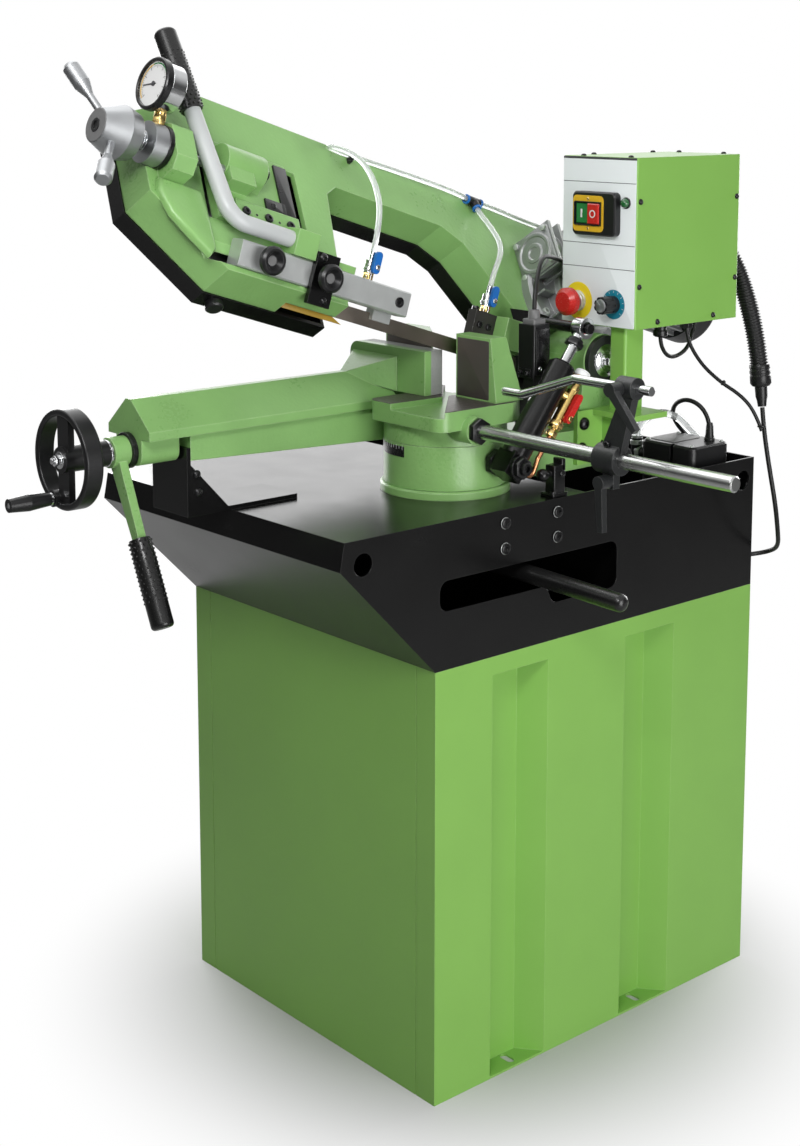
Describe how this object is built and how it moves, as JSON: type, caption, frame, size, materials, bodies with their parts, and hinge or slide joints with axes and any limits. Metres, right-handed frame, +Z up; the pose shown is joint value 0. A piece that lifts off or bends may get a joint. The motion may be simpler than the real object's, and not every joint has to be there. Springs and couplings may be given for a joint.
{
  "type": "metal cutting band saw",
  "caption": "Mitre-cutting metal band saw on a sheet cabinet: tilted bow with a twisted blade, screw vise, turntable, feed cylinder, coolant tray and control box.",
  "frame": {"origin": "centre of the four floor anchor slots, on the floor", "axes": "+Z up, +X to the operator's right, +Y from the operator towards the back of the machine"},
  "size_m": [0.942, 1.1973, 1.4457],
  "materials": {
    "green_paint": "sheet_satin",
    "green_casting": "textured casting",
    "black_paint": "satin",
    "dark_casting": "wrinkle coat",
    "blade_steel": "ground",
    "zinc_plate": "zinc plated",
    "chrome_plate": "polished",
    "satin_aluminium": "satin",
    "wheel_iron": "machined",
    "black_plastic": "fine grain",
    "grip_rubber": "dimpled",
    "cable_rubber": "smooth",
    "clear_hose": "clear",
    "brass": "turned",
    "gauge_steel": "black bezel",
    "red_plastic": "gloss",
    "green_plastic": "gloss",
    "blue_plastic": "gloss"
  },
  "bodies": {
    "base": {"cabinet": "green_paint", "coolant_tray": "black_paint", "turntable_base": "green_casting", "saw_table": "green_casting", "fixed_jaws": "green_casting", "vise_rail": "green_casting", "stop_rod": "zinc_plate", "coolant_pump": "black_plastic", "pump_lines": "cable_rubber"},
    "lock": {"lock_lever": "dark_casting"},
    "vise": {"vise_beam": "green_casting", "vise_jaw": "green_casting"},
    "screw": {"vise_screw": "blade_steel", "vise_handwheel": "black_plastic"},
    "crank": {"crank_handle": "black_plastic"},
    "quick_clamp": {"clamp_lever": "green_casting", "clamp_lever_grip": "grip_rubber"},
    "stop": {"stop_arm": "dark_casting"},
    "finger": {"stop_finger": "chrome_plate"},
    "finger_clamp": {"finger_clamp_lever": "dark_casting"},
    "rod_clamp": {"rod_clamp_lever": "dark_casting"},
    "turntable": {"turntable_arm": "green_casting", "post_bracket": "green_paint", "control_box": "green_paint", "switch_frame": "black_plastic", "limit_switch": "black_plastic", "cable_conduit": "cable_rubber", "box_cables": "cable_rubber"},
    "start": {"start_button": "green_plastic"},
    "halt": {"stop_button": "red_plastic"},
    "estop": {"estop_button": "red_plastic"},
    "speed": {"speed_knob": "black_plastic"},
    "cylinder": {"feed_cylinder": "black_paint", "feed_valve": "brass"},
    "valve": {"valve_lever": "red_plastic"},
    "piston": {"piston_rod": "chrome_plate"},
    "bow": {"bow_casting": "green_casting", "wheel_cover": "black_paint", "hinge_pin": "dark_casting", "gearbox": "satin_aluminium", "motor": "satin_aluminium", "saw_blade": "blade_steel", "tension_collar": "satin_aluminium", "pressure_gauge": "gauge_steel", "rear_guide": "blade_steel", "bow_handle": "satin_aluminium", "handle_grip": "grip_rubber", "coolant_hoses": "clear_hose", "guide_clamp_plate": "black_paint", "lift_bracket": "black_paint"},
    "drive": {"drive_wheel": "wheel_iron"},
    "tension_slide": {"idler_slide": "green_casting"},
    "idler": {"idler_wheel": "wheel_iron"},
    "tension": {"tension_wheel": "satin_aluminium"},
    "guide": {"guide_bar": "zinc_plate", "front_tap": "chrome_plate"},
    "bar_knob": {"guide_bar_knob": "black_plastic"},
    "clamp_knob": {"guide_clamp_knob": "black_plastic"},
    "front_tap_lever": {"front_tap_lever": "blue_plastic"},
    "rear_tap_lever": {"rear_tap_lever": "blue_plastic"}
  },
  "joints": [
    {"name": "turntable_turn", "type": "hinge", "parent": "base", "child": "turntable", "pos_m": [0.12, -0.1325, 0.822], "axis": [0, 0, 1], "range_deg": [0, 45], "deforming": ["box_cables"]},
    {"name": "bow_hinge", "type": "hinge", "parent": "turntable", "child": "bow", "pos_m": [0.15, 0.0885, 0.98], "axis": [-1, 0, 0], "range_deg": [-18.5, 5]},
    {"name": "cylinder_swivel", "type": "hinge", "parent": "turntable", "child": "cylinder", "pos_m": [0.239, -0.1225, 0.858], "axis": [1, 0, 0], "range_deg": [-1.5, 1]},
    {"name": "piston_slide", "type": "slide", "parent": "cylinder", "child": "piston", "axis": [0, 0.6231, 0.7822], "range_m": [-0.032, 0.012]},
    {"name": "vise_handwheel_turn", "type": "hinge", "parent": "vise", "child": "screw", "pos_m": [-0.004, -0.6685, 0.903], "axis": [0, 1, 0], "range_deg": [-7201, 68]},
    {"name": "vise_slide", "type": "slide", "parent": "base", "child": "vise", "axis": [0, 1, 0], "range_m": [-0.16, 0.0015]},
    {"name": "crank_spin", "type": "hinge", "parent": "screw", "child": "crank", "pos_m": [-0.02315, -0.7025, 0.85038], "axis": [0, 1, 0], "continuous": true},
    {"name": "quick_clamp_turn", "type": "hinge", "parent": "vise", "child": "quick_clamp", "pos_m": [-0.004, -0.5955, 0.903], "axis": [0, 1, 0], "range_deg": [-45, 60]},
    {"name": "lock_turn", "type": "hinge", "parent": "base", "child": "lock", "pos_m": [0.12, -0.1325, 0.722], "axis": [0, 0, 1], "range_deg": [-20, 20]},
    {"name": "stop_arm_slide", "type": "slide", "parent": "base", "child": "stop", "axis": [1, 0, 0], "range_m": [-0.08, 0.15]},
    {"name": "stop_finger_slide", "type": "slide", "parent": "stop", "child": "finger", "axis": [1, 0, 0], "range_m": [-0.02, 0.06]},
    {"name": "finger_clamp_turn", "type": "hinge", "parent": "stop", "child": "finger_clamp", "pos_m": [0.495, -0.1878, 1.004], "axis": [0, -1, 0], "range_deg": [-60, 60]},
    {"name": "rod_clamp_turn", "type": "hinge", "parent": "stop", "child": "rod_clamp", "pos_m": [0.472, -0.1798, 0.883], "axis": [0, -1, 0], "range_deg": [-60, 60]},
    {"name": "start_press", "type": "slide", "parent": "turntable", "child": "start", "axis": [0, 1, 0], "range_m": [0, 0.003], "stiffness_N_per_m": 400},
    {"name": "stop_press", "type": "slide", "parent": "turntable", "child": "halt", "axis": [0, 1, 0], "range_m": [0, 0.003], "stiffness_N_per_m": 400},
    {"name": "estop_press", "type": "slide", "parent": "turntable", "child": "estop", "axis": [0, 1, 0], "range_m": [0, 0.004]},
    {"name": "speed_turn", "type": "hinge", "parent": "turntable", "child": "speed", "pos_m": [0.253, 0.0475, 1.066], "axis": [0, 1, 0], "range_deg": [-135, 135]},
    {"name": "valve_turn", "type": "hinge", "parent": "cylinder", "child": "valve", "pos_m": [0.268, -0.03954, 0.91721], "axis": [1, 0, 0], "range_deg": [0, 90]},
    {"name": "drive_spin", "type": "hinge", "parent": "bow", "child": "drive", "pos_m": [0.05862, 0.13818, 1.01397], "axis": [0.7986, 0.183, 0.5733], "continuous": true},
    {"name": "tension_slide", "type": "slide", "parent": "bow", "child": "tension_slide", "axis": [0, 0.9527, -0.304], "range_m": [0, 0.0035]},
    {"name": "idler_spin", "type": "hinge", "parent": "tension_slide", "child": "idler", "pos_m": [0.05862, -0.46486, 1.20642], "axis": [0.7986, 0.183, 0.5733], "continuous": true},
    {"name": "tension_turn", "type": "hinge", "parent": "bow", "child": "tension", "pos_m": [0.0795, -0.6348, 1.31529], "axis": [0, 0.9527, -0.304], "range_deg": [-1, 631]},
    {"name": "guide_slide", "type": "slide", "parent": "bow", "child": "guide", "axis": [0, 0.9527, -0.304], "range_m": [-0.02, 0.05], "deforming": ["coolant_hoses"]},
    {"name": "bar_knob_turn", "type": "hinge", "parent": "guide", "child": "bar_knob", "pos_m": [0.16, -0.47162, 1.15561], "axis": [1, 0, 0], "range_deg": [-180, 180]},
    {"name": "clamp_knob_turn", "type": "hinge", "parent": "bow", "child": "clamp_knob", "pos_m": [0.17, -0.38493, 1.12794], "axis": [1, 0, 0], "range_deg": [-180, 180]},
    {"name": "front_tap_turn", "type": "hinge", "parent": "guide", "child": "front_tap_lever", "pos_m": [0.156, -0.29046, 1.13453], "axis": [-1, 0, 0], "range_deg": [0, 90]},
    {"name": "rear_tap_turn", "type": "hinge", "parent": "bow", "child": "rear_tap_lever", "pos_m": [0.134, -0.05497, 1.06987], "axis": [-1, 0, 0], "range_deg": [0, 90]}
  ],
  "couplings": [
    {"joint": "cylinder_swivel", "follows": "bow_hinge", "ratio": 0.05485},
    {"joint": "piston_slide", "follows": "bow_hinge", "m_per_rad": 0.087929},
    {"joint": "vise_handwheel_turn", "follows": "vise_slide", "rad_per_m": 785.4},
    {"joint": "tension_turn", "follows": "tension_slide", "rad_per_m": 3141.6},
    {"joint": "idler_spin", "follows": "drive_spin", "ratio": 1}
  ]
}
